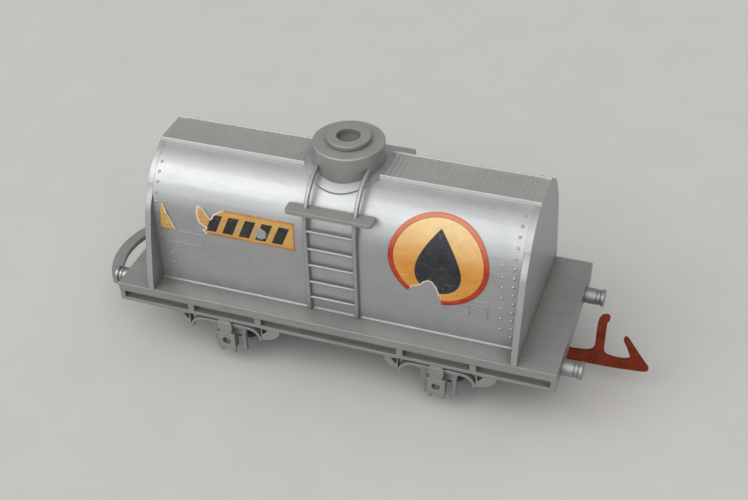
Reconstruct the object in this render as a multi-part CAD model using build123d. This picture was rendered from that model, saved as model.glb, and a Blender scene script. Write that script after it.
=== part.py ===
from build123d import *
import math
import os

# Model tank wagon, 16.5 mm gauge, two axles. All lengths in millimetres.
# Frame: +X towards the hook end (front), +Y across the track (far side), +Z up.
# Origin: midway between the axles, on the plane the wheel flanges stand on.
# Unless noted, heights are measured from the deck top.

os.makedirs("parts", exist_ok=True)

# ---------------------------------------------------------------- driving dimensions
DECK_L = 90.0            # length over the headstocks
DECK_W = 34.8
DECK_Z = 16.0            # deck top above the flange plane
DECK_T = 1.85
HALF_L, HALF_W = DECK_L / 2, DECK_W / 2

SOLE_BOTTOM = -4.4       # bottom of the solebar
SOLE_IN_Y = 14.7         # inner face of the solebar
SOLE_WEB_Y = 16.0        # outer face of the recessed web
HEADSTOCK_T = 1.0
HEADSTOCK_IN = HALF_L - HEADSTOCK_T

WHEELBASE = 44.1
AXLE_X = WHEELBASE / 2
FLANGE_R = 6.2
AXLE_Z = FLANGE_R        # above the flange plane
JOURNAL_R = 0.60
LUG_IN = 7.75            # from axle to inner edge of a spring hanger lug, along X

TANK_FRONT = 36.3        # ends of the tank barrel along X
TANK_REAR = -37.0
TANK_END = {1: TANK_FRONT, -1: -TANK_REAR}   # distance of each end from the centre
TANK_Y = 12.8            # half width of the tank
TANK_SHOULDER = 16.1     # height where the sides start to curve
TANK_R = 11.5            # radius of the curved shoulders
ROOF = TANK_SHOULDER + TANK_R
PLATE_T = 1.2            # end plate thickness
TAB_Y = (7.0, 11.0)      # end plate tabs
TAB_BOTTOM = -1.4

DOME_X = -0.5
DOME_R = 6.95
DOME_TOP = 31.85
DOME_FLANGE_R = 8.55     # saddle flange, in plan
PLUG_R = 2.3
PLUG_SEAT = 31.25        # floor of the pocket the plug sits in

BUFFER_Y = 11.1
BUFFER_Z = -3.4
BUFFER_PEG_R = 0.8

PIVOT_X = 37.0           # hook pivot under the floor
PIVOT_R = 1.10
PIVOT_TOP = -4.0
BOSS_R = 2.6
BOSS_BOTTOM = -8.2

SCREW_X = 10.0
SCREW_R = 1.0
SCREW_HOLE_R = 1.2
BALLAST_T = 2.0

SIDES = (-1, 1)          # near and far along Y, or rear and front along X
ENDS = {1: "front", -1: "rear"}


# ---------------------------------------------------------------- helpers
def deck_z(height):
    """Height above the flange plane of a height measured from the deck top."""
    return DECK_Z + height


def box(x0, x1, y0, y1, z0, z1):
    centre = Pos((x0 + x1) / 2, (y0 + y1) / 2, deck_z((z0 + z1) / 2))
    return centre * Box(abs(x1 - x0), abs(y1 - y0), abs(z1 - z0))


def prism_xz(points, y0, y1):
    """Outline of (x, height) points, extruded from y0 to y1."""
    face = make_face(Polyline(*[(x, y0, deck_z(z)) for x, z in points], close=True))
    return extrude(face, amount=y1 - y0, dir=(0, 1, 0))


def prism_yz(points, x0, x1):
    """Outline of (y, height) points, extruded from x0 to x1."""
    face = make_face(Polyline(*[(x0, y, deck_z(z)) for y, z in points], close=True))
    return extrude(face, amount=x1 - x0, dir=(1, 0, 0))


def rod_x(y, z, radius, x0, x1):
    return Pos((x0 + x1) / 2, y, deck_z(z)) * Rot(0, 90, 0) * Cylinder(radius, abs(x1 - x0))


def axle_rod(x, radius, y0, y1):
    """Round bar along Y at axle height."""
    return Pos(x, (y0 + y1) / 2, AXLE_Z) * Rot(90, 0, 0) * Cylinder(radius, abs(y1 - y0))


def rod_z(x, y, radius, z0, z1):
    return Pos(x, y, deck_z((z0 + z1) / 2)) * Cylinder(radius, abs(z1 - z0))


def round_rim(part, radius, axis=Axis.Z, index=-1):
    """Fillet one circular edge: the last along the axis, or the first with index 0."""
    return fillet(part.edges().filter_by(GeomType.CIRCLE).sort_by(axis)[index], radius)


def barrel(offset, x0, x1, bottom=0.0):
    """Solid with the tank's arched cross-section, grown outwards by offset."""
    centre_y = TANK_Y - TANK_R
    side_y = TANK_Y + offset
    radius = TANK_R + offset
    diagonal = radius * math.sqrt(0.5)
    shoulder, base = deck_z(TANK_SHOULDER), deck_z(bottom)
    top = deck_z(TANK_SHOULDER + radius)
    mid_y, mid_z = centre_y + diagonal, shoulder + diagonal
    edges = [
        Line((x0, -side_y, base), (x0, -side_y, shoulder)),
        ThreePointArc((x0, -side_y, shoulder), (x0, -mid_y, mid_z), (x0, -centre_y, top)),
        Line((x0, -centre_y, top), (x0, centre_y, top)),
        ThreePointArc((x0, centre_y, top), (x0, mid_y, mid_z), (x0, side_y, shoulder)),
        Line((x0, side_y, shoulder), (x0, side_y, base)),
        Line((x0, side_y, base), (x0, -side_y, base)),
    ]
    return extrude(make_face(edges), amount=x1 - x0, dir=(1, 0, 0))


def middle_barrel(offset=0):
    """Short length of barrel that spans the dome and ladders."""
    return barrel(offset, -12, 12)


def skin(distance, offset=0.0):
    """Point (y, z) on the tank's side at a distance up its surface from the deck."""
    if distance <= TANK_SHOULDER:
        return TANK_Y + offset, distance
    angle = (distance - TANK_SHOULDER) / TANK_R
    radius = TANK_R + offset
    return (TANK_Y - TANK_R + radius * math.cos(angle),
            TANK_SHOULDER + radius * math.sin(angle))


def far(part):
    return mirror(part, about=Plane.XZ)


def rear(part):
    return mirror(part, about=Plane.YZ)


def turned(part):
    """The same piece on the other side, turned half a turn about Z."""
    return Rot(0, 0, 180) * part


# ---------------------------------------------------------------- underframe
SOLE_FLANGE_Y = 17.2     # outer edge of the lower flange
SOLE_FLANGE_TOP = SOLE_BOTTOM + 0.7
POST_W = 1.3
POST_X = (14.7, 29.2)
RIB_BOTTOM = SOLE_BOTTOM + 0.4
CROSS_RIB_X = (14.2, 30.0)
# width and height of the hanger lugs, by the end they lie towards from their axle
LUG_SIZE = {1: (4.1, 3.15), -1: (2.9, 2.95)}
# x outwards from the lug's inner edge, height from the solebar's bottom
LUG_EYE = [(0.22, -0.3), (1.45, -0.45), (1.15, -0.95), (0.5, -1.75), (0.22, -1.6)]


def hanger_lug(axle_x, end, side):
    """Quarter-ellipse lug under the solebar, with an eye through it."""
    width, height = LUG_SIZE[end]
    points = [(axle_x + end * LUG_IN, SOLE_BOTTOM)]
    for i in range(13):
        angle = math.radians(90 * i / 12)
        points.append((axle_x + end * (LUG_IN + width * math.cos(angle)),
                       SOLE_BOTTOM - height * math.sin(angle)))
    y0, y1 = sorted((side * 15.7, side * 17.0))
    eye = [(axle_x + end * (LUG_IN + x), SOLE_BOTTOM + z) for x, z in LUG_EYE]
    return prism_xz(points, y0, y1) - prism_xz(eye, y0 - 1, y1 + 1)


def solebar(side):
    """Solebar web, flange and posts of one side, and its inner floor rib."""
    web_y, flange_y = side * SOLE_WEB_Y, side * SOLE_FLANGE_Y
    pieces = [
        box(-HEADSTOCK_IN, HEADSTOCK_IN, side * SOLE_IN_Y, web_y, SOLE_BOTTOM, -DECK_T),
        box(-HEADSTOCK_IN, HEADSTOCK_IN, web_y, flange_y, SOLE_BOTTOM, SOLE_FLANGE_TOP),
    ]
    for post_x in POST_X:
        for end in SIDES:
            x = end * post_x
            pieces.append(box(x - POST_W / 2, x + POST_W / 2, web_y, flange_y,
                              SOLE_FLANGE_TOP, -DECK_T))
    pieces.append(box(-31.0, 31.0, side * 4.0, side * 5.0, RIB_BOTTOM, -DECK_T))
    return pieces


def underframe():
    adds = []
    for side in SIDES:
        adds += solebar(side)
    for end in SIDES:
        adds.append(box(end * HEADSTOCK_IN, end * HALF_L, -HALF_W + 0.2, HALF_W - 0.2,
                        SOLE_BOTTOM, -DECK_T))
        # cross ribs on each side of the wheels
        for rib_x in CROSS_RIB_X:
            adds.append(box(end * rib_x - 0.5, end * rib_x + 0.5, -SOLE_IN_Y, SOLE_IN_Y,
                            RIB_BOTTOM, -DECK_T))
    for side in SIDES:
        for axle_x in (-AXLE_X, AXLE_X):
            for end in SIDES:
                adds.append(hanger_lug(axle_x, end, side))
    # hook pivot boss and its two stop pegs
    adds.append(rod_z(PIVOT_X, 0, BOSS_R, BOSS_BOTTOM, -DECK_T))
    for side in SIDES:
        adds.append(box(41.0, 42.0, side * 3.05, side * 4.25, -9.4, -DECK_T))
    frame = box(-HALF_L, HALF_L, -HALF_W, HALF_W, -DECK_T, 0).fuse(*adds)

    cuts = [rod_z(PIVOT_X, 0, PIVOT_R, BOSS_BOTTOM - 1, PIVOT_TOP)]
    for end in SIDES:
        for side in SIDES:
            # peg hole for each buffer, slots for the end plate tabs
            cuts.append(rod_x(side * BUFFER_Y, BUFFER_Z, BUFFER_PEG_R,
                              end * (HEADSTOCK_IN - 0.5), end * (HALF_L + 0.5)))
            cuts.append(box(end * TANK_END[end], end * (TANK_END[end] + PLATE_T),
                            side * TAB_Y[0], side * TAB_Y[1], TAB_BOTTOM, 0.5))
        cuts.append(rod_z(end * SCREW_X, 0, SCREW_HOLE_R, -DECK_T - 0.5, 0.5))
    return frame.cut(*cuts)


# ---------------------------------------------------------------- axle guards and springs
# near-side pieces around an axle at x = 0
GUARD_IN, GUARD_OUT = 14.9, 15.9   # faces of the guard plate, from the centre line
BOX_FACE = 17.2                    # outer face of the axle box
BOX_HOLE_R = 0.9
JOURNAL_HOLE_R = JOURNAL_R + 0.07  # running clearance

# (x, height)
GUARD_OUTLINE = [
    (-4.3, SOLE_BOTTOM), (4.3, SOLE_BOTTOM), (4.1, -6.4), (3.65, -8.2),
    (3.55, -12.85), (2.85, -12.85), (2.85, -8.45), (1.5, -8.45),
    (1.5, -11.9), (-1.5, -11.9), (-1.5, -8.45), (-2.15, -8.45),
    (-2.15, -13.1), (-2.65, -13.1), (-3.4, -8.2), (-4.1, -6.4),
]
AXLE_BOX_OUTLINE = [
    (-1.75, -7.75), (1.75, -7.75), (1.8, -11.4), (1.45, -12.0), (-1.45, -12.0), (-1.8, -11.4),
]
# centre line of the main leaf, from its middle outwards
LEAF_HALF = [(0.0, -5.25), (3.6, -5.3), (5.6, -5.5), (6.7, -6.1), (7.3, -6.9), (7.55, -7.9)]
SECOND_LEAF = [(-4.6, -5.55), (4.6, -5.55), (4.1, -6.15), (-4.1, -6.15)]
LEAF_HALF_T = 0.28
LEAF_STEPS = 4                     # curve points per stretch of the centre line


def axle_guard():
    plate = prism_xz(GUARD_OUTLINE, -GUARD_OUT, -GUARD_IN)
    body = prism_xz(AXLE_BOX_OUTLINE, -BOX_FACE, -GUARD_OUT)
    ledge = box(-1.9, 1.9, -BOX_FACE - 0.2, -GUARD_OUT, -8.05, -7.65)
    feet = [rod_z(end * 1.35, -BOX_FACE + 0.45, 0.42, -12.6, -11.6) for end in SIDES]
    guard = plate.fuse(body, ledge, *feet)
    guard = guard - axle_rod(0, BOX_HOLE_R, -BOX_FACE - 2, -BOX_FACE + 0.75)
    return guard - axle_rod(0, JOURNAL_HOLE_R, -BOX_FACE - 2, -GUARD_IN + 2)


def curve_point(before, start, finish, after, t):
    """Catmull-Rom point at fraction t of the way from start to finish."""
    return tuple(
        0.5 * (2 * b + (c - a) * t + (2 * a - 5 * b + 4 * c - d) * t * t
               + (3 * b - a - 3 * c + d) * t ** 3)
        for a, b, c, d in zip(before, start, finish, after))


def leaf_outline():
    """Smooth the main leaf's centre line, then offset it to both edges."""
    full = [(-x, z) for x, z in reversed(LEAF_HALF[1:])] + LEAF_HALF
    last = len(full) - 1
    fine = []
    for i in range(last):
        before, after = full[max(i - 1, 0)], full[min(i + 2, last)]
        for k in range(LEAF_STEPS):
            fine.append(curve_point(before, full[i], full[i + 1], after, k / LEAF_STEPS))
    fine.append(full[-1])
    upper, lower = [], []
    for i, (x, z) in enumerate(fine):
        previous, following = fine[max(i - 1, 0)], fine[min(i + 1, len(fine) - 1)]
        run, rise = following[0] - previous[0], following[1] - previous[1]
        length = math.hypot(run, rise)
        shift_x, shift_z = -rise / length * LEAF_HALF_T, run / length * LEAF_HALF_T
        upper.append((x + shift_x, z + shift_z))
        lower.append((x - shift_x, z - shift_z))
    return upper + lower[::-1]


def leaf_spring():
    leaf = prism_xz(leaf_outline(), -17.05, -GUARD_OUT)
    second = prism_xz(SECOND_LEAF, -16.75, -GUARD_OUT)
    buckle = box(-1.3, 1.3, -17.3, -GUARD_OUT, -7.6, SOLE_BOTTOM)
    strap = box(-1.55, 1.55, -17.45, -GUARD_OUT, -6.45, -4.75)
    spring = leaf.fuse(second, buckle, strap)
    # keep clear of the hanger lugs
    return spring & box(-LUG_IN, LUG_IN, -18, -GUARD_OUT, -9, SOLE_BOTTOM)


# ---------------------------------------------------------------- wheelsets
AXLE_R = 1.0
TREAD_R = 5.2
BACK_Y = 7.2             # half the back-to-back distance
JOURNAL_END_Y = 16.55
SHAFT_END_Y = 14.55
# hub, dished web, flange, coned tread and rim: (radius, distance outwards from the back face)
WHEEL_PROFILE = [
    (AXLE_R, -0.25), (2.3, -0.25), (2.3, 0.45), (3.7, 0.75), (4.35, 0.1),
    (5.75, 0), (6.1, 0.12), (FLANGE_R, 0.36), (6.1, 0.6), (5.75, 0.78), (5.35, 0.92),
    (TREAD_R, 1.15), (5.06, 2.75), (4.95, 2.9), (4.35, 2.9), (4.2, 2.7),
    (3.9, 2.0), (2.4, 1.8), (2.2, 2.0), (2.05, 3.05), (1.85, 3.2), (AXLE_R, 3.2),
]


def wheel(side):
    points = [(0, side * (BACK_Y + out), radius) for radius, out in WHEEL_PROFILE]
    face = make_face(Polyline(*points, close=True))
    return revolve(face, axis=Axis((0, 0, 0), (0, 1, 0)), revolution_arc=360)


def axle(x):
    shaft = axle_rod(x, AXLE_R, -SHAFT_END_Y, SHAFT_END_Y)
    pin = axle_rod(x, JOURNAL_R, -JOURNAL_END_Y, JOURNAL_END_Y)
    pin = chamfer(pin.edges().filter_by(GeomType.CIRCLE), 0.2)
    return shaft.fuse(pin)


# ---------------------------------------------------------------- tank barrel
TANK_WALL = 1.2
LADDER_X = 4.9           # half spacing of the ladder stiles
STILE_R = 0.45
BEAD_GAP = STILE_R + 0.15
# lengths of the bead where the side meets the deck, broken at the ladder feet
BEAD_SPANS = ((TANK_REAR, -LADDER_X - BEAD_GAP), (-LADDER_X + BEAD_GAP, LADDER_X - BEAD_GAP),
              (LADDER_X + BEAD_GAP, TANK_FRONT))
# (y from the tank's side, height)
BEAD_PROFILE = [(-0.3, 0), (0.3, 0), (0.24, 0.22), (0, 0.34), (-0.3, 0.34)]
# rivet columns: x, count, lowest rivet, pitch up the skin, rivet radius
RIVET_COLUMNS = ((35.1, 14, 2.7, 2.0, 0.30), (32.97, 7, 4.37, 2.45, 0.25),
                 (-36.2, 13, 2.7, 2.0, 0.30), (-34.2, 7, 4.37, 2.45, 0.25))
# raised bars on the near side, the last seven a frame with three bars in it: x0, x1, z0, z1
SIDE_BARS = [
    (-34.7, -27.0, 9.65, 9.9), (-34.6, -26.3, 12.55, 12.75), (27.75, 30.6, 9.72, 10.05),
    (26.9, 30.6, 8.75, 8.95), (26.9, 30.6, 5.9, 6.1),
    (26.9, 27.1, 5.9, 8.95), (30.4, 30.6, 5.9, 8.95),
    (27.6, 29.9, 7.95, 8.1), (27.6, 29.2, 7.35, 7.5), (27.6, 29.9, 6.75, 6.9),
]
RIVET_BASE_H = 0.27
RIVET_CAP_H = 0.12


def rivet_head(x, side, distance, radius):
    """Low rivet with a tapered cap, rooted in the tank's skin and square to it."""
    y0, z0 = skin(distance, -0.2)
    y1, z1 = skin(distance)
    seat = Plane(origin=(x, side * y0, deck_z(z0)), z_dir=(0, side * (y1 - y0), z1 - z0))
    base = seat * (Pos(0, 0, RIVET_BASE_H / 2) * Cylinder(radius, RIVET_BASE_H))
    cap_z = RIVET_BASE_H + RIVET_CAP_H / 2
    cap = seat * (Pos(0, 0, cap_z) * Cone(radius, radius * 0.5, RIVET_CAP_H))
    return base.fuse(cap)


def side_rivets(side):
    return [rivet_head(x, side, lowest + pitch * k, radius)
            for x, count, lowest, pitch, radius in RIVET_COLUMNS for k in range(count)]


def tank_shell(rivets):
    shell = barrel(0, TANK_REAR, TANK_FRONT)
    shell = shell - barrel(-TANK_WALL, TANK_REAR - 1, TANK_FRONT + 1, -1)
    adds = []
    for side in SIDES:
        bead = [(side * (TANK_Y + y), z) for y, z in BEAD_PROFILE]
        adds += [prism_yz(bead, x0, x1) for x0, x1 in BEAD_SPANS]
        for x0, x1, z0, z1 in SIDE_BARS:
            # the far side carries the same bars turned half a turn about Z
            adds.append(box(-side * x0, -side * x1, side * (TANK_Y - 0.1),
                            side * (TANK_Y + 0.15), z0, z1))
    # two screw pillars that hang from the roof to the ballast plate
    adds += [rod_z(end * SCREW_X, 0, 2.3, BALLAST_T, 26.9) for end in SIDES]
    shell = shell.fuse(*adds, *rivets)
    return shell.cut(*[rod_z(end * SCREW_X, 0, SCREW_R, 0, 10.0) for end in SIDES])


# ---------------------------------------------------------------- end plates
PLATE_TOP = 27.4         # flat under the roof walk
PLATE_PROUD = 0.03       # how far the plate's curve stands outside the barrel's


def plate_half_width(z):
    """Half width of the end plate where it follows the barrel."""
    rise = z - TANK_SHOULDER
    return TANK_Y - TANK_R + math.sqrt((TANK_R + PLATE_PROUD) ** 2 - rise ** 2)


# half width and height: flared foot, then the curve over the shoulder
PLATE_FOOT = [(17.3, 0.0), (16.8, 4.0), (15.95, 8.0), (15.15, 12.0), (14.35, 15.0), (13.45, 18.0)]
PLATE_FOOT += [(plate_half_width(z), z) for z in (20.3, 22.0)]
PLATE_BROW = [(plate_half_width(z), z) for z in (22.0, 23.5, 24.8, 25.8, 26.6, PLATE_TOP)]


def end_plate(x0):
    def edge(points, side):
        return Spline(*[(x0, side * y, deck_z(z)) for y, z in points])

    def level(y0, y1, z):
        return Line((x0, y0, deck_z(z)), (x0, y1, deck_z(z)))

    top_y, foot_y = PLATE_BROW[-1][0], PLATE_FOOT[0][0]
    outline = [edge(PLATE_FOOT, 1), edge(PLATE_BROW, 1), level(top_y, -top_y, PLATE_TOP),
               edge(PLATE_BROW, -1), edge(PLATE_FOOT, -1), level(-foot_y, foot_y, 0)]
    plate = extrude(make_face(outline), amount=PLATE_T, dir=(1, 0, 0))
    tabs = [box(x0, x0 + PLATE_T, side * TAB_Y[0], side * TAB_Y[1], TAB_BOTTOM, 0.05)
            for side in SIDES]
    return plate.fuse(*tabs)


# ---------------------------------------------------------------- roof walk
WALK_Y = 4.25            # half width
WALK_BOTTOM = 26.9       # before it is trimmed to the tank
RIB_BASE, RIB_TOP = ROOF + 0.2, ROOF + 0.32
RIB_PITCH = 1.0
# (x from the start of the pitch, height) of one rib
RIB_PROFILE = [(0.2, RIB_BASE), (0.32, RIB_TOP), (0.72, RIB_TOP), (0.84, RIB_BASE)]


def roof_walk(end, inner, plate):
    """Ribbed strip from the dome to the end plate's face; lengths are counted outwards."""
    outer = TANK_END[end] + PLATE_T
    points = [(end * inner, WALK_BOTTOM), (end * inner, RIB_BASE)]
    x = inner + 0.3
    while x + RIB_PITCH <= outer - 1.2:
        points += [(end * (x + along), z) for along, z in RIB_PROFILE]
        x += RIB_PITCH
    points += [(end * outer, RIB_BASE), (end * outer, WALK_BOTTOM)]
    walk = prism_xz(points, -WALK_Y + 0.25, WALK_Y - 0.25)
    walk = walk.fuse(*[
        box(end * inner, end * outer, side * (WALK_Y - 0.27), side * WALK_Y,
            WALK_BOTTOM, ROOF + 0.5)
        for side in SIDES])
    walk = walk - barrel(0, TANK_REAR, TANK_FRONT)
    return walk - rod_z(DOME_X, 0, DOME_FLANGE_R, 20, 40) - plate


# ---------------------------------------------------------------- dome
SADDLE_T = 0.32
DOME_WALL = 1.1
DOME_ROOF_T = 1.2
LID_R = 4.25
LID_TOP = 32.85
PLUG_TOP = 31.7
PLUG_DISH = 0.2          # depth of the hollow in the plug's top


def dome_flange():
    saddle = middle_barrel(SADDLE_T) - barrel(0, -13, 13, -1)
    return saddle & rod_z(DOME_X, 0, DOME_FLANGE_R, 15, 40)


def dome_body():
    dome = round_rim(rod_z(DOME_X, 0, DOME_R, 20, DOME_TOP), 0.3)
    dome = dome - rod_z(DOME_X, 0, DOME_R - DOME_WALL, 15, DOME_TOP - DOME_ROOF_T)
    dome = dome - middle_barrel(SADDLE_T)
    return dome - rod_z(DOME_X, 0, PLUG_R, PLUG_SEAT, DOME_TOP + 1)


def dome_lid_ring():
    lid = round_rim(rod_z(DOME_X, 0, LID_R, DOME_TOP + 0.16, LID_TOP), 0.15)
    lid = lid.fuse(rod_z(DOME_X, 0, LID_R - 0.16, DOME_TOP, DOME_TOP + 0.3))
    return lid - rod_z(DOME_X, 0, PLUG_R, DOME_TOP - 1, LID_TOP + 1)


def filler_plug():
    ball_r = (PLUG_R ** 2 + PLUG_DISH ** 2) / (2 * PLUG_DISH)
    ball = Pos(DOME_X, 0, deck_z(PLUG_TOP - PLUG_DISH + ball_r)) * Sphere(ball_r)
    return rod_z(DOME_X, 0, PLUG_R, PLUG_SEAT, PLUG_TOP) - ball


# ---------------------------------------------------------------- ladders and step boards
BEND_Y, BEND_Z = 3.4, 18.9   # centre of the stiles' bend, on the near side
BEND_ARC = 86                # degrees
LADDER_Y = TANK_Y + STILE_R
RUNG_R = 0.30
RUNG_Z = (3.18, 6.98, 11.02, 14.88, 19.0)
STEP_X = 8.55                # half length of a step board
STEP_Y = (11.2, 14.0)
STEP_Z = (22.7, 23.5)
FAR_DROP = 0.85              # the far board sits lower, straight on the tank
FAR_STEP_Z = (STEP_Z[0] - FAR_DROP, STEP_Z[1] - FAR_DROP)
STEP_CORNER_R = 0.7


def near_stile(x):
    """Upright that bends over the tank's shoulder towards the dome."""
    post = rod_z(x, -LADDER_Y, STILE_R, 0, BEND_Z)
    section = Pos(x, -LADDER_Y, deck_z(BEND_Z)) * Circle(STILE_R)
    bend_axis = Axis((0, -BEND_Y, deck_z(BEND_Z)), (-1, 0, 0))
    return post.fuse(revolve(section, axis=bend_axis, revolution_arc=BEND_ARC))


def near_rungs():
    return [Pos(0, -LADDER_Y, deck_z(z)) * Rot(0, 90, 0) * Cylinder(RUNG_R, 2 * LADDER_X)
            for z in RUNG_Z]


def ladder_near(stiles):
    return stiles[0].fuse(stiles[1], *near_rungs()) - rod_z(DOME_X, 0, DOME_R, 20, 40)


def ladder_far():
    """Straight stiles that end under the step board."""
    posts = [rod_z(end * LADDER_X, LADDER_Y, STILE_R, 0, FAR_STEP_Z[0]) for end in SIDES]
    return posts[0].fuse(posts[1], *[far(rung) for rung in near_rungs()])


def step_board_near(stiles):
    board = box(-STEP_X, STEP_X, -STEP_Y[1], -STEP_Y[0], *STEP_Z)
    board = fillet(board.edges().filter_by(Axis.Z).sort_by(Axis.Y)[:2], STEP_CORNER_R)
    # two short brackets carry the board off the tank's shoulder
    brackets = [box(end * 7.0 - 0.4, end * 7.0 + 0.4, -STEP_Y[0] - 0.5, -9.4,
                    STEP_Z[0] - 0.45, STEP_Z[0] + 0.18) for end in SIDES]
    return board.fuse(*brackets) - middle_barrel() - stiles[0] - stiles[1]


def step_board_far():
    board = box(-STEP_X, STEP_X, STEP_Y[0] - 0.4, STEP_Y[1], *FAR_STEP_Z)
    board = fillet(board.edges().filter_by(Axis.Z).sort_by(Axis.Y)[-2:], STEP_CORNER_R)
    return board - middle_barrel()


# ---------------------------------------------------------------- buffers
BUFFER_END = 48.95       # buffer face from the wagon's centre
BUFFER_STOCK_R = 1.62
BUFFER_NECK_R = 1.42
BUFFER_HEAD_R = 1.76


def front_near_buffer():
    def stage(radius, x0, x1):
        return rod_x(-BUFFER_Y, BUFFER_Z, radius, x0, x1)

    stock = stage(BUFFER_STOCK_R, HALF_L, 47.2)
    neck = stage(BUFFER_NECK_R, 47.1, BUFFER_END - 0.3)
    collar = stage(BUFFER_STOCK_R, 47.5, 48.0)
    head = round_rim(stage(BUFFER_HEAD_R, 48.28, BUFFER_END), 0.2, Axis.X)
    peg = stage(BUFFER_PEG_R, HEADSTOCK_IN, HALF_L + 0.5)
    return stock.fuse(neck, collar, head, peg)


# ---------------------------------------------------------------- hook, pivot rivet and hoop
PIVOT_HOLE_R = PIVOT_R + 0.06   # running clearance
HOOK_T = 0.8
EAR_Z = (-9.1, -8.3)            # horizontal ear of the hook
HOOP_R = 17.2
HOOP_W = 2.4
HOOP_X = -37.4                  # centre of the hoop's arc
HOOP_Z = (-6.7, -5.6)
LEG_Y = 10.8                    # outer face of the hoop's legs
LEG_END_X = -40.2
# (x, height)
HOOK_OUTLINE = [
    (39.6, -8.6), (43.9, -8.5), (46.2, -8.34), (47.6, -8.14), (48.4, -7.85), (48.95, -7.35),
    (49.25, -6.5), (49.34, -5.4), (49.35, -1.9), (49.38, -0.3), (49.6, 0.75), (50.05, 1.45),
    (50.55, 1.78), (51.0, 1.86), (51.38, 1.68), (51.6, 1.25), (51.55, 0.78), (51.25, 0.42),
    (51.12, -0.25), (51.08, -2.0), (51.08, -7.0), (51.2, -7.72), (51.6, -8.16), (52.2, -8.35),
    (53.1, -8.5), (54.2, -8.53), (55.3, -8.38), (56.1, -8.05), (56.34, -7.5), (56.2, -6.9),
    (55.4, -4.85), (54.72, -3.5), (54.66, -3.05), (54.95, -2.77), (55.35, -2.88), (55.7, -3.3),
    (56.5, -4.5), (57.8, -6.4), (58.8, -7.8), (59.85, -9.2), (60.05, -9.65), (59.95, -10.0),
    (59.5, -10.22), (58.7, -10.36), (56.6, -10.57), (54.0, -10.78), (51.3, -10.91),
    (48.7, -10.98), (44.7, -11.12), (41.2, -11.2), (39.9, -10.95), (39.6, -10.4),
]


def coupling_hook():
    hook = prism_xz(HOOK_OUTLINE, -HOOK_T / 2, HOOK_T / 2)
    ear = rod_z(PIVOT_X, 0, BOSS_R, *EAR_Z).fuse(box(PIVOT_X, 42.4, -1.2, 1.2, *EAR_Z))
    return hook.fuse(ear) - rod_z(PIVOT_X, 0, PIVOT_HOLE_R, -12, -6)


def hook_pivot_rivet():
    shank = rod_z(PIVOT_X, 0, PIVOT_R, EAR_Z[0] - 0.6, PIVOT_TOP)
    head = rod_z(PIVOT_X, 0, 2.1, EAR_Z[0] - 0.85, EAR_Z[0] - 0.05)
    return shank.fuse(round_rim(head, 0.45, index=0))


def coupling_hoop():
    """Flat arc behind the rear headstock on two legs that turn up to the floor."""
    ring = Pos(HOOP_X, 0, deck_z(sum(HOOP_Z) / 2)) * (
        Cylinder(HOOP_R, HOOP_Z[1] - HOOP_Z[0]) - Cylinder(HOOP_R - HOOP_W, 5))
    ring = ring & box(-60, -46.0, -LEG_Y, LEG_Y, *HOOP_Z)
    leg_x = HOOP_X - math.sqrt(HOOP_R ** 2 - LEG_Y ** 2)
    legs = []
    for side in SIDES:
        inner, outer = side * (LEG_Y - HOOP_W), side * LEG_Y
        legs.append(box(leg_x, LEG_END_X, inner, outer, *HOOP_Z))
        legs.append(box(-43.6, LEG_END_X, inner, outer, HOOP_Z[0], -DECK_T))
    hoop = ring.fuse(*legs)
    corners = [edge for edge in hoop.edges().filter_by(Axis.Z)
               if edge.center().X < -48.5 and abs(edge.center().Y) > LEG_Y - 0.1]
    return fillet(corners, 1.4)


# ---------------------------------------------------------------- ballast and tank screws
def ballast_plate():
    plate = box(-28, 28, -9, 9, 0, BALLAST_T)
    return plate.cut(*[rod_z(end * SCREW_X, 0, SCREW_HOLE_R, -1, 3) for end in SIDES])


def tank_screw(x):
    """Screw up through the deck, with a slotted head under it."""
    shank = rod_z(x, 0, SCREW_R, -DECK_T - 0.4, 9.2)
    head = round_rim(rod_z(x, 0, 2.0, -DECK_T - 1.1, -DECK_T), 0.5, index=0)
    slot = box(x - 2.5, x + 2.5, -0.28, 0.28, -DECK_T - 1.6, -DECK_T - 0.6)
    return shank.fuse(head) - slot


# ---------------------------------------------------------------- paper labels
# thin sheets on the tank's side; outlines are (x, distance up the skin from the deck)
STICKER_T = 0.10
STICKER_CUT_Y = (-16, -5)
EMBLEM_X, EMBLEM_UP, EMBLEM_R = 20.87, 17.0, 9.65
LABEL_X = (-27.3, -7.4)
LABEL_UP = (13.4, 19.5)
LABEL_STEPS = 6
TORN_LABEL = [
    (-26.0, 13.4), (-7.4, 13.4), (-7.4, 14.9), (-7.4, 16.4), (-7.4, 18.0), (-7.4, 19.5),
    (-22.1, 19.5), (-23.0, 18.95), (-24.1, 18.2), (-24.5, 17.15), (-26.2, 19.15),
    (-27.3, 19.5), (-27.7, 18.0), (-27.25, 15.85), (-25.7, 14.75), (-26.7, 14.2),
]
SCRAP = [(-35.75, 12.85), (-32.6, 13.2), (-33.85, 16.3), (-34.75, 18.55), (-35.3, 18.05)]
# piece torn from the emblem's lower edge: (x, height)
EMBLEM_TEAR = [
    (14.9, 6.0), (15.5, 9.4), (15.9, 10.4), (17.3, 11.0), (18.4, 12.1), (19.3, 12.55),
    (20.0, 12.1), (20.6, 10.85), (21.35, 9.15), (21.1, 8.3), (21.2, 6.0),
]


def sheet(points):
    """Outline on the near side, wrapped on the tank."""
    layer = barrel(STICKER_T, TANK_REAR + 0.2, TANK_FRONT - 0.2)
    layer = layer - barrel(0, TANK_REAR - 1, TANK_FRONT + 1, -1)
    return layer & prism_xz([(x, skin(up)[1]) for x, up in points], *STICKER_CUT_Y)


def whole_emblem():
    angles = [math.radians(degrees) for degrees in range(0, 360, 6)]
    return sheet([(EMBLEM_X + EMBLEM_R * math.cos(angle), EMBLEM_UP + EMBLEM_R * math.sin(angle))
                  for angle in angles])


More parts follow.
